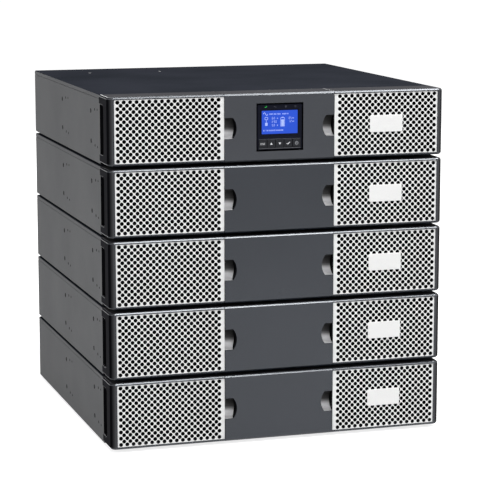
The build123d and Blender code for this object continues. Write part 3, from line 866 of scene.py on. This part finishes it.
# %% Status signs and painted highlights
HIGHLIGHT_THICKNESS = 0.5
HIGHLIGHT_EDGE = 0.1
HIGHLIGHT_PROUD = 0.25
display_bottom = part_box("display_housing")[0].z / MM
highlight_width = 2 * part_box("key_power")[1].x / MM
SIGN_Z = middle_of("display_housing")[1] + 25.2
check_sign = [stroke([(-19.6, SIGN_Z), (-18.7, SIGN_Z - 0.9), (-16.9, SIGN_Z + 1.1)], 0.8)]
dim_signs = wave_icon(-6.0, SIGN_Z, width=3.4, height=1.6, line=0.45)
dim_signs += battery_icon(8.0, SIGN_Z - 0.2, width=2.0, height=2.4, line=0.3)
dim_signs += [circle(20.5, SIGN_Z, radius, sides=20) for radius in (1.2, 0.8)]
add_piece("status_sign_lit", film_mesh("lit", check_sign), "green_mark", "display")
add_piece("status_signs_dim", film_mesh("dim", dim_signs), "dim_mark", "display")
# grey strips along the bottom edge and above the keys: painted highlights
highlight_outlines = [rounded_box(0.0, display_bottom + 1.6, highlight_width, 0.9, 0.3),
                rounded_box(0.0, display_bottom + 13.2, highlight_width, 0.4, 0.15)]
highlight_mesh = plate_mesh("lip", highlight_outlines, HIGHLIGHT_THICKNESS, HIGHLIGHT_EDGE, SCREEN_FACE - HIGHLIGHT_PROUD)
add_piece("display_painted_highlights", highlight_mesh, "lip_plastic", "display")
print("status signs and lip are on")

# %% [markdown]
# ## Signs on the keys
# Each key carries one printed sign: the letters of the way back, two arrows, a tick and the ring of a
# power key. They ride on their keys and go in with them. Letters have lines that cross, and a filled
# curve leaves a gap where outlines cross, so each of their lines is a plate of its own.

# %% Key signs
KEYS = ("escape", "up", "down", "enter", "power")
INK_PROUD = 0.05
INK_SUNK = 0.02
INK_EDGE = 0.008
LETTER_LINE = 0.45
ESCAPE_LINES = (((-1.6, 1.0), (-2.8, 1.0), (-2.8, -1.0), (-1.6, -1.0)),
                ((-2.8, 0.0), (-1.9, 0.0)),
                ((0.6, 1.0), (-0.6, 1.0), (-0.6, 0.0), (0.6, 0.0), (0.6, -1.0), (-0.6, -1.0)),
                ((2.8, 1.0), (1.6, 1.0), (1.6, -1.0), (2.8, -1.0)))


def key_sign(key, x, z):
    """The outlines of a key's sign around x, z."""
    if key == "escape":
        lines = [[(x + across, z + up) for across, up in line] for line in ESCAPE_LINES]
        return [stroke(ends, LETTER_LINE) for points in lines for ends in zip(points, points[1:])]
    if key == "up":
        return [[(x - 1.7, z - 1.2), (x + 1.7, z - 1.2), (x, z + 1.5)]]
    if key == "down":
        return [[(x - 1.7, z + 1.2), (x, z - 1.5), (x + 1.7, z + 1.2)]]
    if key == "enter":
        return [stroke([(x - 2.0, z - 0.1), (x - 0.7, z - 1.2), (x + 2.2, z + 1.4)], 1.0)]
    return [circle(x, z, 2.1, 28), circle(x, z, 1.5, 28), rounded_box(x, z + 0.2, 0.5, 1.9, 0.2, 2)]


def ink_mesh(name, outlines, face):
    """Printed ink on a key's face."""
    return plate_mesh(name, outlines, INK_PROUD + INK_SUNK, INK_EDGE, face - INK_PROUD)


for key in KEYS:
    outlines = key_sign(key, *middle_of(f"key_{key}"))
    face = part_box(f"key_{key}")[0].y / MM
    if key == "escape":
        mesh = join_meshes(f"{key}_sign", [ink_mesh("line", [outline], face) for outline in outlines])
    else:
        mesh = ink_mesh(f"{key}_sign", outlines, face)
    ink = "grey_ink" if key == "power" else "white_ink"
    add_piece(f"key_{key}_sign", mesh, ink, f"key_{key}_body")
print("key signs:", len(KEYS))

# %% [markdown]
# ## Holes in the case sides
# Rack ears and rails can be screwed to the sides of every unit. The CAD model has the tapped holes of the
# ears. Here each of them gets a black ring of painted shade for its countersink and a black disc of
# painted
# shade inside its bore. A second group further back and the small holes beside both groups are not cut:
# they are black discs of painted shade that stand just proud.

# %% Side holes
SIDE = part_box("battery_1_case")[1].x / MM
CASE_MIDDLE = base_z / MM + (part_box("battery_1_lid")[1].z - base_z) / 2 / MM
ear_mount = next(mount for mount in frame["record"]["mounts"] if mount["kind"] == "bolt_pattern")
EAR_Y = ear_mount["pos_m"][1] / MM
EAR_HALF_PITCH = ear_mount["dims"]["spacing_y_mm"] / 2
REAR_GROUP_Y = 36.0
SINK_RADIUS = 3.0
TAPPED_RADIUS = 1.6
HOLE_ROUND = 24
SMALL_HOLE_ROUND = 20
SMALL_HOLE_SHADES = ((21.5, 22.5, 1.8), (35.0, 23.2, 1.5))
RIM_PROUD = 0.05
RIM_SUNK = 0.03
RIM_EDGE = 0.01
BOTTOM_THICKNESS = 0.3
BOTTOM_EDGE = 0.05
BOTTOM_DEPTH = 0.9


def turned(mesh, quarter_turns):
    """A mesh that faces the front, turned about the upright axis."""
    mesh.transform(Matrix.Rotation(quarter_turns * math.pi / 2, 4, "Z"))
    return mesh


def side_hole_shade_meshes(side):
    """Painted shade for the holes of one side of a unit: countersink rings, discs and the bottoms of its
    tapped holes.
    """
    rings, discs, bottoms = [], [], []
    for up in (-1, 1):
        z = CASE_MIDDLE + up * EAR_HALF_PITCH
        tapped = circle(side * EAR_Y, z, TAPPED_RADIUS, HOLE_ROUND)
        rings += [circle(side * EAR_Y, z, SINK_RADIUS, HOLE_ROUND), tapped]
        bottoms.append(tapped)
        discs.append(circle(side * REAR_GROUP_Y, z, SINK_RADIUS, HOLE_ROUND))
        for main_y in (EAR_Y, REAR_GROUP_Y):
            for before, away, radius in SMALL_HOLE_SHADES:
                y = main_y - before
                discs.append(circle(side * y, CASE_MIDDLE + up * away, radius, SMALL_HOLE_ROUND))
    skin = plate_mesh("holes", rings + discs, RIM_PROUD + RIM_SUNK, RIM_EDGE, -SIDE - RIM_PROUD)
    ends = plate_mesh("bottoms", bottoms, BOTTOM_THICKNESS, BOTTOM_EDGE, -SIDE + BOTTOM_DEPTH)
    return [turned(skin, side), turned(ends, side)]


# black rings, discs and bottoms stand for the shade in and around the holes: painted shade
side_hole_shades = join_meshes("side_hole_shades", side_hole_shade_meshes(-1) + side_hole_shade_meshes(1))
add_to_units("side_hole_shades", side_hole_shades, "inner_black")
print("units with side holes:", len(UNITS))

# %% [markdown]
# ## Walls behind the ear slots
# The flange of a rack ear goes into the slot in each side of a bezel. A thin rib inside closes the slot
# off from the space behind the grille, so no daylight from the side shows through the holes. It stands
# clear of the flange.

# %% Slot walls
WALL_X = 205.0
WALL_THICKNESS = 1.2
WALL_INSET = 5.0
WALL_CORNER = 1.5
WALL_EDGE = 0.3
wall_front = plate_front + 2 * PLATE_THICKNESS


def slot_wall_mesh(side):
    """The rib on one side."""
    outline = rounded_box(side * (wall_front + CASE_FRONT) / 2, BEZEL_MIDDLE, CASE_FRONT - wall_front,
                          2 * (BEZEL_HALF_HEIGHT - WALL_INSET), WALL_CORNER)
    return turned(plate_mesh("wall", [outline], WALL_THICKNESS, WALL_EDGE, -WALL_X), side)


slot_walls = join_meshes("slot_walls", [slot_wall_mesh(side) for side in (-1, 1)])
# the ribs are black: painted shade
add_to_units("slot_walls", slot_walls, "inner_black")
print("units with slot walls:", len(UNITS))

# %% [markdown]
# ## Screws
# A screw head is a low disc with a rounded rim and a cross-shaped drive. Two small ones lie flush in the
# top lid. At the rear, screws hold the back walls, the signal panel and the fan. Each size of screw is
# given by the radius and the height of its head.

# %% Screws
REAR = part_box("ups_case")[1].y / MM
PANEL_FACE = REAR + 1.5
WALL_SCREW = (2.8, 1.3)
PANEL_SCREW = (2.2, 1.0)
LID_SCREW = (1.8, 0.04)
WALL_SCREW_X = 206.0
WALL_SCREW_Z = 34.5
PANEL_SCREW_INSET = 3.6
FAN_SCREW_PLACE = 31.5
LID_SCREW_PLACES = ((-155.0, 148.0), (-54.0, 148.0))
DRIVE_REACH = 0.58
DRIVE_HALF_WIDTH = 0.15


def cross(x, z, reach, half_width):
    """Points of a cross."""
    corner = [(half_width, reach), (half_width, half_width), (reach, half_width)]
    points = []
    for quarter in range(4):
        turn = -quarter * math.pi / 2
        for across, up in corner:
            points.append((x + across * math.cos(turn) - up * math.sin(turn),
                           z + across * math.sin(turn) + up * math.cos(turn)))
    return points


def screw_mesh(x, z, radius, proud, face):
    """A screw head that faces the front, on a face at that depth."""
    outlines = [circle(x, z, radius, 28), cross(x, z, radius * DRIVE_REACH, radius * DRIVE_HALF_WIDTH)]
    head = plate_mesh("head", outlines, proud + 0.1, min(0.35, proud / 2), face - proud)
    bottom = plate_mesh("drive", [circle(x, z, radius * 0.7, 16)], 0.12, 0.02, face - proud * 0.25)
    return [head, bottom]


def corner_places(x, z, half_width, half_height):
    """The four corners of a rectangle around x, z."""
    return [(x + across * half_width, z + up * half_height) for across in (-1, 1) for up in (-1, 1)]


def rear_screws(name, places, size, face, lift=0.0):
    """A piece with screws of one size on a wall that faces the rear."""
    heads = [turned(mesh, 2) for x, z in places for mesh in screw_mesh(-x, z, *size, -face)]
    add_piece(name, join_meshes(name, heads), "screw_steel", lift=lift)


wall_places = corner_places(0.0, CASE_MIDDLE, WALL_SCREW_X, WALL_SCREW_Z)
for unit in UNITS:
    rear_screws(f"{unit}_rear_screws", wall_places, WALL_SCREW, REAR, LIFT[unit])
panel_low, panel_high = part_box("ups_signal_panel")
panel_x, panel_z = middle_of("ups_signal_panel")
panel_half_width = (panel_high.x - panel_low.x) / 2 / MM
panel_half_height = (panel_high.z - panel_low.z) / 2 / MM
panel_places = corner_places(panel_x, panel_z, panel_half_width - PANEL_SCREW_INSET,
                             panel_half_height - PANEL_SCREW_INSET)
rear_screws("panel_screws", panel_places, PANEL_SCREW, PANEL_FACE)
fan_x, fan_z = middle_of("ups_fan_guard")
fan_places = corner_places(fan_x, fan_z, FAN_SCREW_PLACE, FAN_SCREW_PLACE)
rear_screws("fan_screws", fan_places, WALL_SCREW, REAR)
onto_lid = Matrix.Translation((0.0, 0.0, cad_high.z)) @ Matrix.Rotation(-math.pi / 2, 4, "X")
lid_heads = [mesh for x, y in LID_SCREW_PLACES for mesh in screw_mesh(x, y, *LID_SCREW, 0.0)]
for mesh in lid_heads:
    mesh.transform(onto_lid)
add_piece("lid_screws", join_meshes("lid_screws", lid_heads), "guard_steel")
print("screws on each rear wall:", len(wall_places))

# %% [markdown]
# ## The fan
# Behind the guard turns a small fan in a round duct. Its seven blades are sheets that twist from the hub
# to the tip, so each is a small grid whose angle grows along the chord, given a thickness at the end.

# %% Fan rotor and duct
HUB_RADIUS = 12.0
HUB_BORE = 0.4
HUB_CHAMFER = 1.2
BLADE_TIP = 31.0
BLADE_ROOT = HUB_RADIUS - 0.5
BLADES = 7
BLADE_STEPS = 6
BLADE_SWEEP = math.radians(38)
BLADE_THICKNESS = 1.1
ROTOR_FRONT = REAR - 4.0
ROTOR_DEPTH = 9.0
ROTOR_BACK = ROTOR_FRONT - ROTOR_DEPTH
DUCT_INNER = BLADE_TIP + 1.2
DUCT_OUTER = BLADE_TIP + 5.0
DUCT_FRONT = REAR - 2.6
DUCT_BACK = REAR - 16.0
FAN_EDGE_RADIUS = 0.25


def around_fan(radius, angle, depth):
    """A point around the fan's axis in metres, from millimetres."""
    return ((fan_x + radius * math.cos(angle)) * MM, depth * MM, (fan_z + radius * math.sin(angle)) * MM)


def ring_mesh(profile, sides):
    """A turned body around the fan's axis, from a closed profile of radius and depth in millimetres."""
    body = bmesh.new()
    rows = []
    for i in range(sides):
        angle = 2 * math.pi * i / sides
        rows.append([body.verts.new(around_fan(radius, angle, depth)) for radius, depth in profile])
    face_rows(body, [row + row[:1] for row in rows + rows[:1]])
    return mesh_from(body, "ring")


def blade_mesh(index):
    """One twisted blade."""
    sheet = bmesh.new()
    rows = []
    shares = [i / BLADE_STEPS for i in range(BLADE_STEPS + 1)]
    for out in shares:
        radius = BLADE_ROOT + (BLADE_TIP - BLADE_ROOT) * out
        row = []
        for chord in shares:
            angle = 2 * math.pi * index / BLADES + BLADE_SWEEP * (chord + 0.25 * out ** 2)
            depth = ROTOR_FRONT - ROTOR_DEPTH * (0.9 - 0.25 * out) * chord ** 0.9
            row.append(sheet.verts.new(around_fan(radius, angle, depth)))
        rows.append(row)
    face_rows(sheet, rows)
    bmesh.ops.solidify(sheet, geom=sheet.faces[:], thickness=BLADE_THICKNESS * MM)
    return mesh_from(sheet, "blade")


hub = ring_mesh([(HUB_BORE, ROTOR_FRONT), (HUB_RADIUS - HUB_CHAMFER, ROTOR_FRONT),
                 (HUB_RADIUS, ROTOR_FRONT - HUB_CHAMFER), (HUB_RADIUS, ROTOR_BACK),
                 (HUB_BORE, ROTOR_BACK)], 40)
rotor = join_meshes("fan_rotor", [hub] + [blade_mesh(index) for index in range(BLADES)])
duct = ring_mesh([(DUCT_INNER, DUCT_FRONT), (DUCT_OUTER, DUCT_FRONT), (DUCT_OUTER, DUCT_BACK),
                  (DUCT_INNER, DUCT_BACK)], 56)
for name, mesh in (("fan_rotor", rotor), ("fan_duct", duct)):
    for face in mesh.polygons:
        face.use_smooth = True
    soften(add_piece(name, mesh, "socket_plastic"), FAN_EDGE_RADIUS, segments=2)
print("fan blades:", BLADES)

# %% [markdown]
# ## Ports and contacts at the rear
# The signal panel's wide port shows two rows of pin holes and the small one a square mouth. In every
# battery plug stand two bright contacts.

# %% Ports and contacts
PORT_FACE = panel_high.y / MM
PORT_Z = panel_z - panel_half_height / 2
WIDE_PORT_X = panel_x + 6.0
SMALL_PORT_X = panel_x - 20.0
PIN_STEP = 2.8
PIN_RADIUS = 0.6
PORT_THICKNESS = 1.0
PORT_EDGE = 0.15
PORT_PROUD = 0.6
PLUG_HALF_WIDTH = 23.0
CONTACT_PLACE = 10.9
CONTACT_WIDTH = 4.0
CONTACT_HEIGHT = 12.0
CONTACT_CORNER = 1.2
CONTACT_LENGTH = 4.6
CONTACT_EDGE = 0.5
CONTACT_PROUD = 6.0


def pin_row(count, z):
    """A row of pin holes across the wide port."""
    first_x = -WIDE_PORT_X - (count - 1) / 2 * PIN_STEP
    return [circle(first_x + i * PIN_STEP, z, PIN_RADIUS, 12) for i in range(count)]


wide_face = [rounded_box(-WIDE_PORT_X, PORT_Z, 18.0, 7.6, 1.6)]
wide_face += pin_row(5, PORT_Z + PIN_STEP / 2) + pin_row(4, PORT_Z - PIN_STEP / 2)
small_face = [rounded_box(-SMALL_PORT_X, PORT_Z, 9.6, 8.6, 0.8),
              rounded_box(-SMALL_PORT_X, PORT_Z, 6.8, 5.8, 0.6)]
port_mesh = join_meshes("port_faces", [
    turned(plate_mesh("port", outlines, PORT_THICKNESS, PORT_EDGE, -PORT_FACE - PORT_PROUD), 2)
    for outlines in (wide_face, small_face)])
add_piece("port_faces", port_mesh, "contact_metal")


def contact_meshes(node):
    """Two upright contacts in each plug of a node."""
    low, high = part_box(node)
    middle_x, middle_z = middle_of(node)
    plugs = [low.x / MM + PLUG_HALF_WIDTH, high.x / MM - PLUG_HALF_WIDTH]
    if node == "ups_battery_plug":
        plugs = [middle_x]
    meshes = []
    for plug_x in plugs:
        for across in (-1, 1):
            x = plug_x + across * CONTACT_PLACE
            outline = rounded_box(-x, middle_z, CONTACT_WIDTH, CONTACT_HEIGHT, CONTACT_CORNER)
            contact = plate_mesh("contact", [outline], CONTACT_LENGTH, CONTACT_EDGE, -REAR - CONTACT_PROUD)
            meshes.append(turned(contact, 2))
    return meshes


for unit in UNITS:
    node = "ups_battery_plug" if unit == "ups" else f"{unit}_rear_plugs"
    contacts = join_meshes(f"{unit}_contacts", contact_meshes(node))
    add_piece(f"{unit}_plug_contacts", contacts, "contact_metal")
print("ports and contacts are in place")
